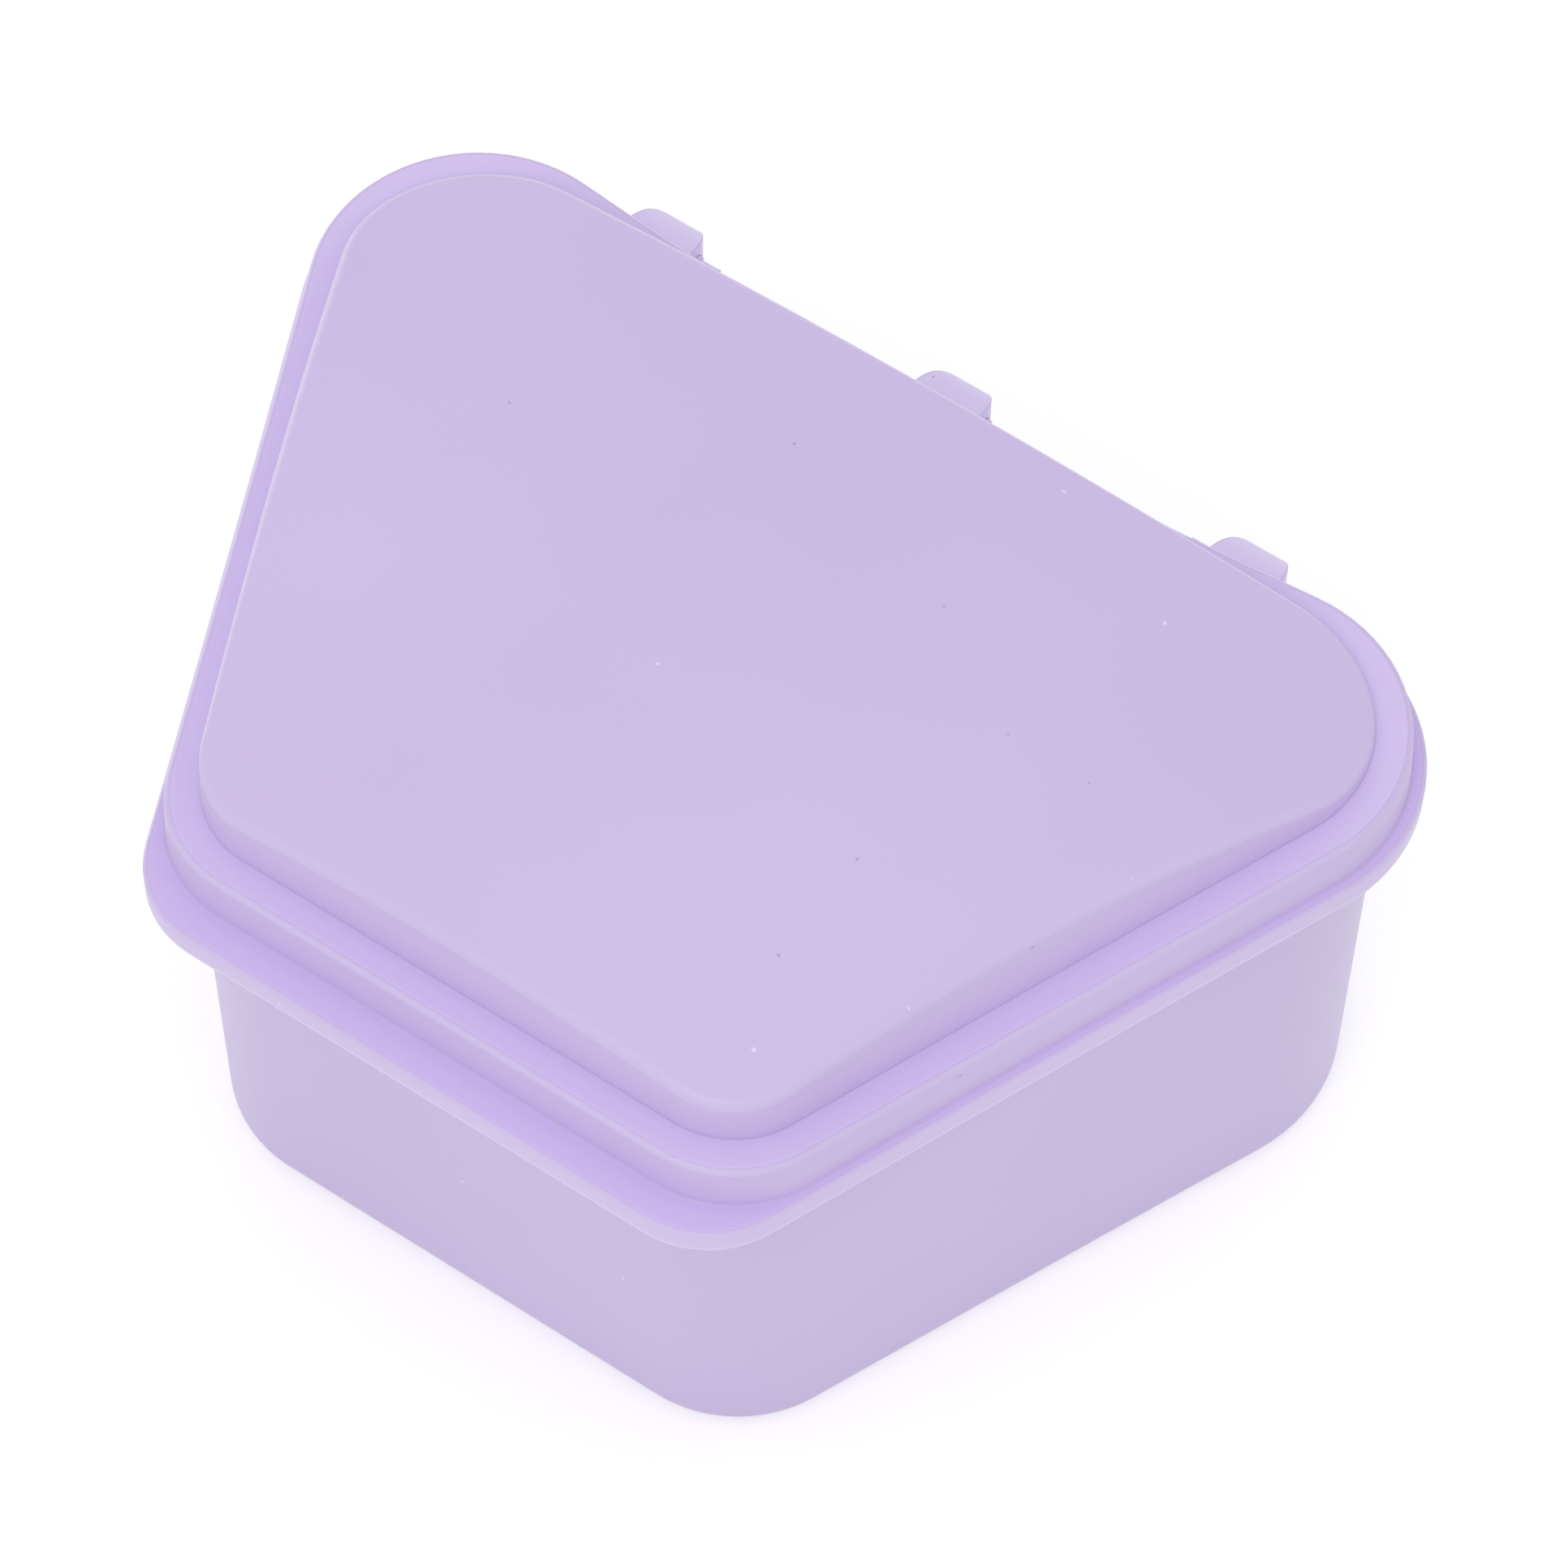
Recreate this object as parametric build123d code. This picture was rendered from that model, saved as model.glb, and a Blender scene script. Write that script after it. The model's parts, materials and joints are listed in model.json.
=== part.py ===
from build123d import *
import math
import os

# Hinged retainer case: a tapered tub and a crowned lid that turns on three clip hinges.
# Millimetres. X runs along the hinge, +Y points to the hinge at the back, +Z is up.
# The origin is the bottom centre of the closed case's bounding box.

# Plan of the lid, given at its sharp corners before they are rounded
case_depth = 59.95
back_width = 91.3
front_width = 42.65
back_waist = 3.8
side_waist = 0.14
back_corner_radius = 10.8
front_corner_radius = 8.1

# Heights of the closed case
parting_height = 32.25
flange_thickness = 1.9
terrace_rise = 3.67
crown_rise = 8.86

# Flange around the lid and the thumb lip along its front
flange_overhang = 0.59
flange_back_radius = 11.1
thumb_lip_reach = 2.23
thumb_lip_radius = 6.75
flange_edge_radius = 0.42
flange_lower_radius = 0.15

# Terrace and raised crown of the lid
terrace_draft_angle = 2.66
terrace_edge_radius = 0.5
terrace_width = 2.22
crown_back_radius = 8.8
crown_front_radius = 6.4
crown_radius_across = 120.3
crown_radius_along = 80.1
crown_draft_angle = 2.5
crown_edge_radius = 0.8
crease_radius = 0.2
lid_wall = 1.1
lid_inner_radius = 0.5

# Tub under the lid, whose sides run together faster than the lid's
tub_side_inset = 0.19
tub_front_inset = 1.43
tub_front_narrowing = 2.57
tub_draft_angle = 0.8
tub_back_radius = 11.7
tub_front_radius = 9.6
tub_edge_radius = 0.25
tub_foot_radius = 1.5
tub_inner_foot_radius = 3.0
tub_wall = 2.0
tub_floor = 1.5

# Thin rim of the tub that stands inside the lid
rim_clearance = 0.3
rim_front_clearance = 0.55
rim_top_clearance = 0.55
rim_edge_radius = 0.25

# Clip hinges: a bar between two lugs on the tub, and a hook on the lid that snaps round it
hinge_names = ("left", "middle", "right")
hinge_pitch = 21.85
hinge_row_shift = -0.5
hinge_bar_radius = 0.55
hinge_running_fit = 0.05
hinge_line_inset = 1.04
hook_wall = 1.05
hook_width = 4.9
hook_rise = 0.18
hook_end_angle = -125.0
hook_end_radius = 0.3
hook_back_radius = 1.0
hook_left_corner_radius = 2.5
hook_right_corner_radius = 1.2
hook_lug_gap = 0.25
lug_thickness = 1.4
lug_end_radius = 0.4
lug_gap_to_lid = 0.25
lug_slope_angle = 45.0

# Places worked out from the sizes above
flange_top = parting_height + flange_thickness
terrace_top = flange_top + terrace_rise
crown_top = terrace_top + crown_rise
rim_top = terrace_top - lid_wall - rim_top_clearance
bore_radius = hinge_bar_radius + hinge_running_fit
hook_radius = bore_radius + hook_wall
hinge_y = case_depth / 2 - hook_radius
hinge_z = flange_top + hook_rise - hook_radius
pad_end_y = hinge_y + hook_radius - hook_left_corner_radius
front_line_y = thumb_lip_reach - case_depth / 2
back_line_y = hinge_y + hinge_line_inset

# Circle that the waisted back edge is part of
waist_radius = (back_width ** 2 / 4 + back_waist ** 2) / (2 * back_waist)
waist_centre_y = back_line_y - back_waist + waist_radius


def side_slope(narrowing):
    """How fast a side leads outwards, where the front is narrower than the lid's own."""
    return (back_width - front_width + narrowing) / 2 / (back_line_y - front_line_y)


def half_width(y, inset, narrowing):
    """Half the plan's width at y, with both sides moved in by the inset."""
    slope = side_slope(narrowing)
    start = (front_width - narrowing) / 2
    return start + slope * (y - front_line_y) - inset * math.hypot(1, slope)


def back_corner_y(inset, narrowing):
    """Where a side meets the waisted back edge, with both moved in by the inset."""
    slope = side_slope(narrowing)
    start = half_width(0, inset, narrowing)
    half_linear = start * slope - waist_centre_y
    square = 1 + slope ** 2
    constant = start ** 2 + waist_centre_y ** 2 - (waist_radius + inset) ** 2
    root = math.sqrt(half_linear ** 2 - square * constant)
    return -(half_linear + root) / square


def plan(height, inset, front_inset, back_radius, front_radius, narrowing=0):
    """Rounded outline at a height, moved in from the lid's own outline."""
    back_y = back_corner_y(inset, narrowing)
    waist_y = waist_centre_y - waist_radius - inset
    front_y = front_line_y + front_inset
    back_x = half_width(back_y, inset, narrowing)
    front_x = half_width(front_y, inset, narrowing)
    slope = side_slope(narrowing)
    side_x = (front_x + back_x) / 2 - side_waist / math.hypot(1, slope)
    side_y = (front_y + back_y) / 2 + side_waist * slope / math.hypot(1, slope)
    outline = make_face([
        Line((-front_x, front_y), (front_x, front_y)),
        ThreePointArc((front_x, front_y), (side_x, side_y), (back_x, back_y)),
        ThreePointArc((back_x, back_y), (0, waist_y), (-back_x, back_y)),
        ThreePointArc((-back_x, back_y), (-side_x, side_y), (-front_x, front_y)),
    ])
    outline = fillet(outline.vertices().sort_by(Axis.Y)[-2:], back_radius)
    outline = fillet(outline.vertices().sort_by(Axis.Y)[:2], front_radius)
    return Pos(0, 0, height) * outline


def level_face(solid, height):
    """The flat face of a solid that lies at a height."""
    return solid.faces().filter_by(Plane.XY).sort_by(lambda face: abs(face.center().Z - height))[0]


def dome(depth):
    """Solid under the crown's double curve, taken a depth below its outside."""
    height = terrace_rise + crown_rise
    disc = Pos(0, crown_top - crown_radius_along) * Circle(crown_radius_along - depth)
    band = Pos(0, crown_top - height) * Rectangle(2 * crown_radius_along, 2 * height)
    axis = Axis((0, 0, crown_top - crown_radius_across), (0, 1, 0))
    reach = math.degrees(math.asin(back_width / 2 / crown_radius_across))
    section = (Plane.YZ * (disc & band)).rotate(axis, -reach)
    return revolve(section, axis, revolution_arc=2 * reach)


def crown(depth):
    """Crown of the lid, or the hollow inside it where the depth is the lid's wall."""
    outline = plan(
        flange_top,
        terrace_width + depth,
        terrace_width + depth,
        crown_back_radius - depth,
        crown_front_radius - depth,
    )
    walls = extrude(outline, terrace_rise + crown_rise, taper=crown_draft_angle)
    block = walls & dome(depth)
    top = block.faces().sort_by(Axis.Z)[-1]
    return fillet(top.outer_wire().edges(), crown_edge_radius)


def terrace(depth, edge_radius):
    """Lower step of the lid, or the hollow inside it where the depth is the lid's wall."""
    outline = plan(
        parting_height,
        depth,
        depth,
        back_corner_radius - depth,
        front_corner_radius - depth,
    )
    top = terrace_top - depth
    block = extrude(outline, top - parting_height, taper=terrace_draft_angle)
    return fillet(level_face(block, top).outer_wire().edges(), edge_radius)


def flange():
    """Flat flange round the lid, wider along the front as a thumb lip."""
    outline = plan(
        parting_height,
        -flange_overhang,
        -thumb_lip_reach,
        flange_back_radius,
        thumb_lip_radius,
    )
    return extrude(outline, flange_thickness)


def hinge_places():
    """Each hinge's name and its place along the hinge line."""
    middle = (len(hinge_names) - 1) / 2
    places = [hinge_row_shift + (index - middle) * hinge_pitch for index in range(len(hinge_names))]
    return list(zip(hinge_names, places))


def hook_pad(x):
    """Flat tongue of the lid's flange that carries one hook."""
    start_y = waist_centre_y - waist_radius - lid_wall / 2
    width_y = pad_end_y - start_y
    base_z = hinge_z + bore_radius
    size = Box(hook_width, width_y, hook_wall)
    return Pos(x, start_y + width_y / 2, base_z + hook_wall / 2) * size


def lid_shell():
    """The lid in one piece: flange, terrace, crown and hinge tongues, clear of the hooks."""
    shell = flange() + terrace(0, terrace_edge_radius)
    shell = fillet(level_face(shell, flange_top).inner_wires()[0].edges(), crease_radius)
    shell = fillet(level_face(shell, flange_top).outer_wire().edges(), flange_edge_radius)
    shell = fillet(level_face(shell, parting_height).outer_wire().edges(), flange_lower_radius)
    shell += crown(0)
    for _, x in hinge_places():
        shell += hook_pad(x)
        shell -= hook(x)
    shell -= terrace(lid_wall, lid_inner_radius)
    shell -= crown(lid_wall)
    return shell


def tub_outside():
    """Outer form of the tub, up to the plane where the lid sits."""
    outline = plan(
        parting_height,
        tub_side_inset,
        tub_front_inset,
        tub_back_radius,
        tub_front_radius,
        tub_front_narrowing,
    )
    return extrude(outline, parting_height, dir=(0, 0, -1), taper=tub_draft_angle)


def tub_rim():
    """Upstand of the tub that locates the lid from inside."""
    outline = plan(
        parting_height,
        lid_wall + rim_clearance,
        lid_wall + rim_front_clearance,
        back_corner_radius - lid_wall - rim_clearance,
        front_corner_radius - lid_wall - rim_clearance,
    )
    return extrude(outline, rim_top - parting_height, taper=terrace_draft_angle)


def tub_hollow():
    """Space inside the tub, open at the top of the rim."""
    outline = plan(
        rim_top,
        tub_side_inset + tub_wall,
        tub_front_inset + tub_wall,
        tub_back_radius - tub_wall,
        tub_front_radius - tub_wall,
        tub_front_narrowing,
    )
    hollow = extrude(outline, rim_top - tub_floor, dir=(0, 0, -1), taper=tub_draft_angle)
    return fillet(level_face(hollow, tub_floor).outer_wire().edges(), tub_inner_foot_radius)


def base_tub():
    """The tub in one piece, with the thin rim that stands inside the lid."""
    tub = tub_outside()
    tub = fillet(level_face(tub, 0).outer_wire().edges(), tub_foot_radius)
    tub = fillet(level_face(tub, parting_height).outer_wire().edges(), tub_edge_radius)
    rim = tub_rim()
    rim = fillet(level_face(rim, rim_top).outer_wire().edges(), rim_edge_radius)
    return tub + rim - tub_hollow()


def on_circle(radius, angle):
    """Point of a circle round the hinge axis, in the plane across the hinge."""
    turn = math.radians(angle)
    return (hinge_y + radius * math.cos(turn), hinge_z + radius * math.sin(turn))


def across_hinge(face, x, width):
    """Solid of a width, made from a face drawn across the hinge, centred on x."""
    return extrude(Plane.YZ.offset(x) * face, width / 2, both=True)


def hook(x):
    """Hook on the lid's tongue: flat over the bar, down behind it and round under it."""
    top_outer = (hinge_y + hook_radius, hinge_z + hook_radius)
    back_outer = on_circle(hook_radius, 0)
    end_outer = on_circle(hook_radius, hook_end_angle)
    end_inner = on_circle(bore_radius, hook_end_angle)
    top_inner = on_circle(bore_radius, 90)
    root_outer = (pad_end_y, top_outer[1])
    root_inner = (pad_end_y, top_inner[1])
    section = make_face([
        Line(root_inner, root_outer),
        Line(root_outer, top_outer),
        Line(top_outer, back_outer),
        ThreePointArc(back_outer, on_circle(hook_radius, hook_end_angle / 2), end_outer),
        Line(end_outer, end_inner),
        ThreePointArc(end_inner, on_circle(bore_radius, (90 + hook_end_angle) / 2), top_inner),
        Line(top_inner, root_inner),
    ])
    section = fillet(section.vertices().sort_by(Axis((0, 0, 0), (1, 1, 0)))[-1], hook_back_radius)
    section = fillet(section.vertices().sort_by(Axis.Y)[:2], hook_end_radius)
    return across_hinge(section, x, hook_width) & hook_plan(x)


def hook_plan(x):
    """Upright block that rounds the hook's two outer corners as seen from above."""
    back_y = hinge_y + hook_radius
    front_y = hinge_y - hook_radius
    outline = Pos(x, (back_y + front_y) / 2) * Rectangle(hook_width, back_y - front_y)
    corners = outline.vertices().sort_by(Axis.Y)[-2:].sort_by(Axis.X)
    outline = fillet(corners[0], hook_left_corner_radius)
    corners = outline.vertices().sort_by(Axis.X)[-2:].sort_by(Axis.Y)
    outline = fillet(corners[-1], hook_right_corner_radius)
    return extrude(outline, crown_top)


def pin(x):
    """Bar of the tub between two lugs, which the hook turns on."""
    section = Pos(hinge_y, hinge_z) * Circle(hinge_bar_radius)
    return across_hinge(section, x, hook_width + 2 * hook_lug_gap)


def lug(x):
    """Bracket on the tub's back wall that reaches under the lid and carries one end of a bar."""
    top_z = parting_height - lug_gap_to_lid
    neck_y = hinge_y - lug_end_radius
    slope_start = on_circle(lug_end_radius, lug_slope_angle - 90)
    root_y = waist_centre_y - waist_radius - tub_side_inset - tub_wall / 2
    root_z = slope_start[1] - (slope_start[0] - root_y) * math.tan(math.radians(lug_slope_angle))
    gusset = make_face([
        Line((root_y, root_z), (root_y, top_z)),
        Line((root_y, top_z), (neck_y, top_z)),
        Line((neck_y, top_z), (neck_y, hinge_z)),
        Line((neck_y, hinge_z), slope_start),
        Line(slope_start, (root_y, root_z)),
    ])
    section = gusset + Pos(hinge_y, hinge_z) * Circle(lug_end_radius)
    return across_hinge(section, x, lug_thickness) - tub_outside()


def lug_pair(x):
    """The two lugs at the ends of one bar."""
    reach = hook_width / 2 + hook_lug_gap + lug_thickness / 2
    return Compound(children=[lug(x - reach), lug(x + reach)])


os.makedirs("parts", exist_ok=True)
export_step(base_tub(), "parts/base_tub.step")
export_step(lid_shell(), "parts/lid_shell.step")
for name, x in hinge_places():
    export_step(lug_pair(x), f"parts/hinge_lugs_{name}.step")
    export_step(pin(x), f"parts/hinge_pin_{name}.step")
    export_step(hook(x), f"parts/hinge_hook_{name}.step")
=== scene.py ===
import json
import math

import bpy
from mathutils import Matrix, Vector


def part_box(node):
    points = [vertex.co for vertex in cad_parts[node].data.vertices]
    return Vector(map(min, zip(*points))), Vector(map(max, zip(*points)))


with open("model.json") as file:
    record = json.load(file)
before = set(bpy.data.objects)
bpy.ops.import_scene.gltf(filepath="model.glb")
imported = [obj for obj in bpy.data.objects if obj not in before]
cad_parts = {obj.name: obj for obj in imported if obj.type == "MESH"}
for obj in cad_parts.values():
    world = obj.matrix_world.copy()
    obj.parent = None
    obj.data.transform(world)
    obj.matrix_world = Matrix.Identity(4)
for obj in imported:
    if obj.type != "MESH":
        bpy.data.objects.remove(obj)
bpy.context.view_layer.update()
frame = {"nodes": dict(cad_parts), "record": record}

# Camera of the photograph, in the case's own frame: metres and degrees
CAMERA_TARGET = Vector((0.003265, 0.004286, 0.023549))
CAMERA_DISTANCE = 0.44712
CAMERA_AZIMUTH = 33.595
CAMERA_ELEVATION = 59.314
CAMERA_ROLL = 0.705
CAMERA_LENS = 165.26
CAMERA_SENSOR = 36.0

# Light of the studio: an even white dome, a soft box in front and a cooler one overhead
DOME_STRENGTH = 0.80
FRONT_BOX_PLACE = Vector((0.25, -0.9, 1.1))
FRONT_BOX_SIDE = 0.7
FRONT_BOX_POWER = 3.0
FRONT_BOX_COLOUR = (1.0, 1.0, 1.0)
TOP_BOX_PLACE = Vector((-0.03, 0.05, 1.28))
TOP_BOX_SIDE = 0.4
TOP_BOX_POWER = 0.7
TOP_BOX_COLOUR = (0.85, 0.97, 1.0)

# Floor: wide, pale, and lifted to white where no shadow falls
FLOOR_SIDE = 6.0
FLOOR_COLOUR = (0.85, 0.85, 0.85, 1)
FLOOR_LIFT = 0.33

# Heights of the lid's steps, from its underside and hooks in the frame, in metres
FLANGE_THICKNESS = 0.0019
TERRACE_RISE = 0.00367
PARTING_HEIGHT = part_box("lid_shell")[0][2]
FLANGE_TOP = PARTING_HEIGHT + FLANGE_THICKNESS
TERRACE_TOP = FLANGE_TOP + TERRACE_RISE
TONGUE_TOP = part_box("hinge_hook_middle")[1][2]

# Where the painted light and shade lie: blend at a height, fade up a wall, front of the
# painted-highlight hinge row, side away from the lens that gets a painted rim highlight
LEVEL_SLACK = 0.00008
CREASE_RISE = 0.0005
LOWER_EDGE_RISE = 0.0008
HINGE_ROW_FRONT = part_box("hinge_pin_middle")[0][1]
FAR_SIDE = (-0.8, 0.6, 0.0)

# Slopes, as the part of the normal that points up or to the far side: where a painted light or shade
# tint starts and is full
LEVEL_SLOPES = (0.95, 0.99)
UPRIGHT_SLOPES = (0.85, 0.3)
ROUNDED_LOW_SLOPES = (0.1, 0.35)
ROUNDED_HIGH_SLOPES = (0.96, 0.7)
FAR_SLOPES = (0.1, 0.4)

# Lilac polypropylene of each moulding, as linear colours: cloudy between two shades
LILAC = {
    "lid_plastic": ((0.618, 0.508, 0.806, 1), (0.648, 0.534, 0.840, 1)),
    "tub_plastic": ((0.596, 0.498, 0.778, 1), (0.628, 0.526, 0.812, 1)),
}
# Painted bounce light: brighter, more saturated lilac on the flange and terrace ledges, standing in for
# light thrown back by the step walls
FLANGE_BOUNCE_LILAC = (0.660, 0.520, 0.880, 1)
TERRACE_BOUNCE_LILAC = (0.672, 0.555, 0.880, 1)
# Painted highlight: pale lilac on rounded edges, far-side edges, the flange's outer face and lower edge,
# the hinge tongues and the hinge row
PAINTED_HIGHLIGHT_LILAC = (0.755, 0.660, 0.940, 1)
# Painted shade: deep lilac in the creases at the foot of each step's wall
CREASE_SHADE_LILAC = (0.480, 0.370, 0.720, 1)
# Shares of the painted highlight on rounded edges, on edges facing away from the lens and on the
# flange's outer face
ROUNDED_HIGHLIGHT_SHARE = 0.12
FAR_EDGE_HIGHLIGHT_SHARE = 0.9
OUTER_FACE_HIGHLIGHT_SHARE = 0.33
# Share of the painted crease shade
CREASE_SHADE_SHARE = 0.35
SPECK_LILAC = (0.80, 0.72, 0.92, 1)
NICK_LILAC = (0.46, 0.38, 0.62, 1)

# Clouds, grain and softened edges of the plastic, with sizes in metres
CLOUD_SIZE = 0.03
CLOUD_DETAIL = 2.0
CLOUD_BAND = (0.3, 0.7)
GRAIN_SIZE = 0.00025
GRAIN_DETAIL = 3.0
GRAIN_DEPTH = 0.0001
GRAIN_STRENGTH = 0.08
SOFT_EDGE = 0.0002
SOFT_EDGE_SAMPLES = 6

# Satin surface
ROUGHNESS = 0.40
SHEEN_WEIGHT = 0.15
SHEEN_ROUGHNESS = 0.3

# Dots in the plastic, pale specks and dark nicks, with sizes in metres
DOT_BLUR = 1.6
SPECK_SPACING = 0.002
SPECK_RADIUS = 0.0001
SPECK_SHARE = 0.08
NICK_SPACING = 0.0027
NICK_RADIUS = 0.0001
NICK_SHARE = 0.25


def make_camera():
    """The photograph's camera: its place, aim, roll and lens."""
    azimuth = math.radians(CAMERA_AZIMUTH)
    elevation = math.radians(CAMERA_ELEVATION)
    back = Vector((
        math.sin(azimuth) * math.cos(elevation),
        -math.cos(azimuth) * math.cos(elevation),
        math.sin(elevation),
    ))
    right = Vector((math.cos(azimuth), math.sin(azimuth), 0))
    up = back.cross(right)
    axes = Matrix((right, up, back)).transposed().to_4x4()
    data = bpy.data.cameras.new("photo_camera")
    data.lens = CAMERA_LENS
    data.sensor_width = CAMERA_SENSOR
    camera = bpy.data.objects.new("photo_camera", data)
    bpy.context.scene.collection.objects.link(camera)
    roll = Matrix.Rotation(math.radians(CAMERA_ROLL), 4, "Z")
    camera.matrix_world = Matrix.Translation(CAMERA_TARGET + back * CAMERA_DISTANCE) @ axes @ roll
    bpy.context.scene.camera = camera


def node(tree, kind, **inputs):
    """A shader node of a kind, with its named inputs set."""
    made = tree.nodes.new(kind)
    for name, value in inputs.items():
        made.inputs[name.replace("_", " ")].default_value = value
    return made


def arithmetic(tree, operation, *values):
    """The result of one step of arithmetic on sockets or numbers."""
    made = tree.nodes.new("ShaderNodeMath")
    made.operation = operation
    for socket, value in zip(made.inputs, values):
        if isinstance(value, bpy.types.NodeSocket):
            tree.links.new(value, socket)
        else:
            socket.default_value = value
    return made.outputs["Value"]


def product(tree, first, *others):
    """All the values multiplied together."""
    for other in others:
        first = arithmetic(tree, "MULTIPLY", first, other)
    return first


def largest(tree, first, *others):
    """The largest of the values."""
    for other in others:
        first = arithmetic(tree, "MAXIMUM", first, other)
    return first


def seen_directly(tree):
    """1 for what the lens sees straight, in a reflection or through glass; 0 for light on a surface."""
    path = tree.nodes.new("ShaderNodeLightPath")
    kinds = ("Is Camera Ray", "Is Glossy Ray", "Is Transmission Ray")
    return largest(tree, *[path.outputs[kind] for kind in kinds])


def make_world():
    """Even white dome: the light's level for the case, plain white for what the lens sees."""
    world = bpy.data.worlds.new("studio")
    bpy.context.scene.world = world
    world.use_nodes = True
    tree = world.node_tree
    tree.nodes.clear()
    light = node(tree, "ShaderNodeBackground", Color=(1, 1, 1, 1), Strength=DOME_STRENGTH)
    white = node(tree, "ShaderNodeBackground", Color=(1, 1, 1, 1), Strength=1.0)
    mix = tree.nodes.new("ShaderNodeMixShader")
    out = tree.nodes.new("ShaderNodeOutputWorld")
    tree.links.new(seen_directly(tree), mix.inputs["Fac"])
    tree.links.new(light.outputs[0], mix.inputs[1])
    tree.links.new(white.outputs[0], mix.inputs[2])
    tree.links.new(mix.outputs[0], out.inputs["Surface"])


def make_soft_box(name, place, side, power, colour):
    """Square soft box aimed at the case."""
    data = bpy.data.lights.new(name, "AREA")
    data.shape = "SQUARE"
    data.size = side
    data.energy = power
    data.color = colour
    lamp = bpy.data.objects.new(name, data)
    bpy.context.scene.collection.objects.link(lamp)
    aim = (place - CAMERA_TARGET).to_track_quat("Z", "Y")
    lamp.matrix_world = Matrix.Translation(place) @ aim.to_matrix().to_4x4()


def make_floor():
    """Plain pale floor, which keeps the case's shadow."""
    half = FLOOR_SIDE / 2
    mesh = bpy.data.meshes.new("floor")
    corners = [(-half, -half, 0), (half, -half, 0), (half, half, 0), (-half, half, 0)]
    mesh.from_pydata(corners, [], [(0, 1, 2, 3)])
    floor = bpy.data.objects.new("floor", mesh)
    bpy.context.scene.collection.objects.link(floor)
    material = bpy.data.materials.new("floor")
    material.use_nodes = True
    tree = material.node_tree
    tree.nodes.clear()
    diffuse = node(tree, "ShaderNodeBsdfDiffuse", Color=FLOOR_COLOUR)
    lift = node(tree, "ShaderNodeEmission", Color=(1, 1, 1, 1))
    both = tree.nodes.new("ShaderNodeAddShader")
    out = tree.nodes.new("ShaderNodeOutputMaterial")
    strength = product(tree, seen_directly(tree), FLOOR_LIFT)
    tree.links.new(strength, lift.inputs["Strength"])
    tree.links.new(diffuse.outputs[0], both.inputs[0])
    tree.links.new(lift.outputs[0], both.inputs[1])
    tree.links.new(both.outputs[0], out.inputs["Surface"])
    mesh.materials.append(material)


def ramp(tree, value, none, full):
    """0 where the value is none, 1 where it is full, and smooth between them."""
    made = node(tree, "ShaderNodeMapRange", From_Min=none, From_Max=full)
    made.interpolation_type = "SMOOTHSTEP"
    tree.links.new(value, made.inputs["Value"])
    return made.outputs["Result"]


def between(tree, value, low, high):
    """1 where the value lies between two levels, with a narrow blend outside each."""
    above = ramp(tree, value, low - LEVEL_SLACK, low)
    below = ramp(tree, value, high + LEVEL_SLACK, high)
    return product(tree, above, below)


def foot(tree, height, start, rise):
    """1 at the height where a wall starts, fading to 0 over its rise, and 0 below the wall."""
    fading = ramp(tree, height, start + rise, start)
    return product(tree, fading, ramp(tree, height, start - LEVEL_SLACK, start))


def tint(tree, weight, under, over):
    """The colour under, covered by a plain colour as far as the weight says."""
    made = tree.nodes.new("ShaderNodeMixRGB")
    tree.links.new(weight, made.inputs["Fac"])
    tree.links.new(under, made.inputs["Color1"])
    made.inputs["Color2"].default_value = over
    return made.outputs["Color"]


def noise(tree, place, size, detail):
    """Noise whose features measure about size, in metres."""
    made = node(tree, "ShaderNodeTexNoise", Scale=1 / size, Detail=detail)
    tree.links.new(place, made.inputs["Vector"])
    return made.outputs["Fac"]


def dots(tree, place, spacing, radius, share):
    """Small scattered dots: one at the heart of each cell, in a share of the cells."""
    cells = node(tree, "ShaderNodeTexVoronoi", Scale=1 / spacing)
    tree.links.new(place, cells.inputs["Vector"])
    near = ramp(tree, cells.outputs["Distance"], DOT_BLUR * radius / spacing, radius / spacing)
    draw = tree.nodes.new("ShaderNodeSeparateColor")
    tree.links.new(cells.outputs["Color"], draw.inputs["Color"])
    chosen = arithmetic(tree, "LESS_THAN", draw.outputs["Red"], share)
    return product(tree, near, chosen)


def clouded(tree, place, shades):
    """Slow drift of the plastic's colour between two shades."""
    made = tree.nodes.new("ShaderNodeValToRGB")
    for stop, position, shade in zip(made.color_ramp.elements, CLOUD_BAND, shades):
        stop.position = position
        stop.color = shade
    tree.links.new(noise(tree, place, CLOUD_SIZE, CLOUD_DETAIL), made.inputs["Fac"])
    return made.outputs["Color"]


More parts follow.
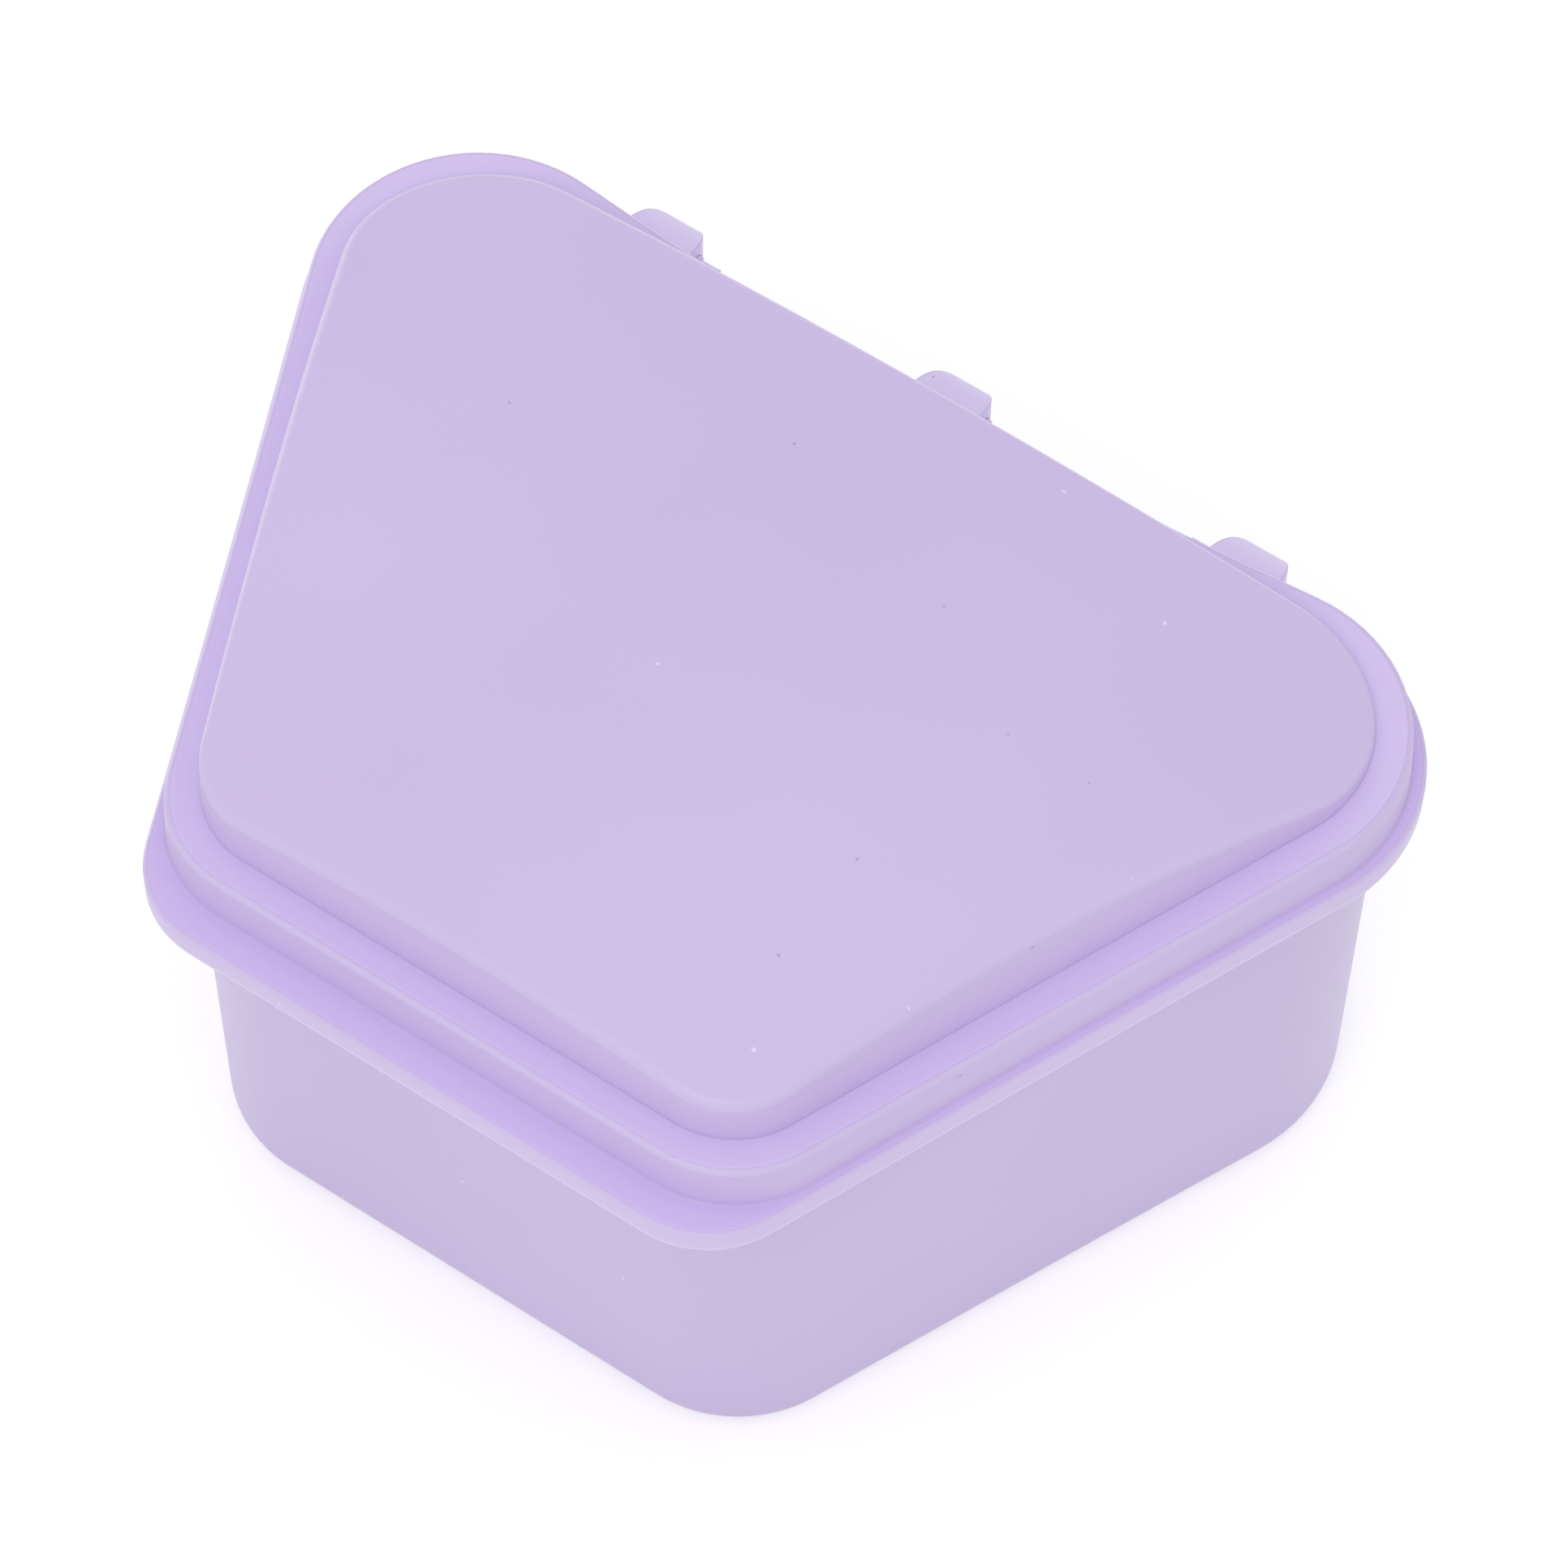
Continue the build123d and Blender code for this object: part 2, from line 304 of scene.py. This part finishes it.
def painted_highlight_weight(tree, height, normal, upward, level):
    """Share of painted highlight (pale lilac) on the lid's rounded edges, far-side edges, its flange's
    outer face and lower edge, and its hinge tongues.
    """
    slant = arithmetic(tree, "ABSOLUTE", upward)
    turning = product(
        tree, ramp(tree, slant, *ROUNDED_LOW_SLOPES), ramp(tree, slant, *ROUNDED_HIGH_SLOPES)
    )
    flange_crease = between(tree, height, FLANGE_TOP, FLANGE_TOP + CREASE_RISE)
    terrace_crease = between(tree, height, TERRACE_TOP, TERRACE_TOP + CREASE_RISE)
    edge = arithmetic(tree, "SUBTRACT", turning, largest(tree, flange_crease, terrace_crease))
    # Painted highlight along the rounded edges
    rounded = product(tree, edge, ROUNDED_HIGHLIGHT_SHARE)
    towards_far_side = tree.nodes.new("ShaderNodeVectorMath")
    towards_far_side.operation = "DOT_PRODUCT"
    towards_far_side.inputs[1].default_value = FAR_SIDE
    tree.links.new(normal, towards_far_side.inputs[0])
    far = ramp(tree, towards_far_side.outputs["Value"], *FAR_SLOPES)
    # Painted rim highlight on the edges that face away from the lens
    far_edge = product(tree, edge, far, FAR_EDGE_HIGHLIGHT_SHARE)
    upright = ramp(tree, slant, *UPRIGHT_SLOPES)
    flange_face = between(tree, height, PARTING_HEIGHT, FLANGE_TOP - LEVEL_SLACK)
    # Painted highlight on the flange's outer face
    outer = product(tree, flange_face, upright, OUTER_FACE_HIGHLIGHT_SHARE)
    # Painted highlight along the flange's lower edge
    lower_edge = product(tree, foot(tree, height, PARTING_HEIGHT, LOWER_EDGE_RISE), upright)
    # Painted highlight on the flat tops of the hinge tongues
    tongue = product(tree, between(tree, height, TONGUE_TOP, TONGUE_TOP), level)
    return largest(tree, rounded, far_edge, outer, lower_edge, tongue)


def crease_shade_weight(tree, height, ledge, level):
    """Share of painted shade (deep lilac) in the foot of a step's wall, down to the ledge it stands on.
    """
    wall = arithmetic(tree, "SUBTRACT", 1.0, level)
    return product(tree, foot(tree, height, ledge, CREASE_RISE), wall, CREASE_SHADE_SHARE)


def stepped(tree, colour, height, normal, upward):
    """The lid's colour on its steps: painted bounce light on the ledges, painted shade in the creases,
    painted highlights on the rims.
    """
    level = ramp(tree, upward, *LEVEL_SLOPES)
    for ledge, lilac in ((FLANGE_TOP, FLANGE_BOUNCE_LILAC), (TERRACE_TOP, TERRACE_BOUNCE_LILAC)):
        # Painted bounce light on the level top of each ledge
        weight = product(tree, level, between(tree, height, ledge, ledge))
        colour = tint(tree, weight, colour, lilac)
        # Painted shade in the crease at the foot of the wall above this ledge
        colour = tint(tree, crease_shade_weight(tree, height, ledge, level), colour, CREASE_SHADE_LILAC)
    # Painted highlight laid over the ledge and crease colours
    return tint(tree, painted_highlight_weight(tree, height, normal, upward, level), colour, PAINTED_HIGHLIGHT_LILAC)


def lilac_plastic(name):
    """Satin moulded polypropylene: cloudy, with painted bounce light on ledges, painted shade in
    creases, painted highlights on rims and the hinge row, specks and fine grain.
    """
    material = bpy.data.materials.new(name)
    material.use_nodes = True
    tree = material.node_tree
    shader = tree.nodes["Principled BSDF"]
    coordinates = tree.nodes.new("ShaderNodeTexCoord")
    place = coordinates.outputs["Object"]
    split_place = tree.nodes.new("ShaderNodeSeparateXYZ")
    tree.links.new(place, split_place.inputs["Vector"])
    depth = split_place.outputs["Y"]
    height = split_place.outputs["Z"]
    split_normal = tree.nodes.new("ShaderNodeSeparateXYZ")
    normal = coordinates.outputs["Normal"]
    tree.links.new(normal, split_normal.inputs["Vector"])
    upward = split_normal.outputs["Z"]

    colour = clouded(tree, place, LILAC[name])
    if name == "lid_plastic":
        colour = stepped(tree, colour, height, normal, upward)
    # Painted highlight on everything behind the front of the hinge row, which lightens the hooks and
    # pins
    hinge_row_highlight = ramp(tree, depth, HINGE_ROW_FRONT - LEVEL_SLACK, HINGE_ROW_FRONT)
    colour = tint(tree, hinge_row_highlight, colour, PAINTED_HIGHLIGHT_LILAC)
    colour = tint(tree, dots(tree, place, SPECK_SPACING, SPECK_RADIUS, SPECK_SHARE), colour, SPECK_LILAC)
    colour = tint(tree, dots(tree, place, NICK_SPACING, NICK_RADIUS, NICK_SHARE), colour, NICK_LILAC)
    tree.links.new(colour, shader.inputs["Base Color"])
    shader.inputs["Roughness"].default_value = ROUGHNESS
    shader.inputs["Sheen Weight"].default_value = SHEEN_WEIGHT
    shader.inputs["Sheen Roughness"].default_value = SHEEN_ROUGHNESS

    bevel = node(tree, "ShaderNodeBevel", Radius=SOFT_EDGE)
    bevel.samples = SOFT_EDGE_SAMPLES
    bump = node(tree, "ShaderNodeBump", Strength=GRAIN_STRENGTH, Distance=GRAIN_DEPTH)
    tree.links.new(noise(tree, place, GRAIN_SIZE, GRAIN_DETAIL), bump.inputs["Height"])
    tree.links.new(bevel.outputs["Normal"], bump.inputs["Normal"])
    tree.links.new(bump.outputs["Normal"], shader.inputs["Normal"])
    return material


def dress_cad():
    """Every moulded piece of the case in the lilac plastic of its moulding."""
    slots = {row["node"]: row["material_slot"] for row in frame["record"]["subparts"]}
    materials = {slot: lilac_plastic(slot) for slot in sorted(set(slots.values()))}
    for name, piece in frame["nodes"].items():
        piece.data.materials.clear()
        piece.data.materials.append(materials[slots[name]])


make_camera()
make_world()
make_soft_box("front_box", FRONT_BOX_PLACE, FRONT_BOX_SIDE, FRONT_BOX_POWER, FRONT_BOX_COLOUR)
make_soft_box("top_box", TOP_BOX_PLACE, TOP_BOX_SIDE, TOP_BOX_POWER, TOP_BOX_COLOUR)
make_floor()
dress_cad()

bpy.context.scene.view_settings.view_transform = "Standard"
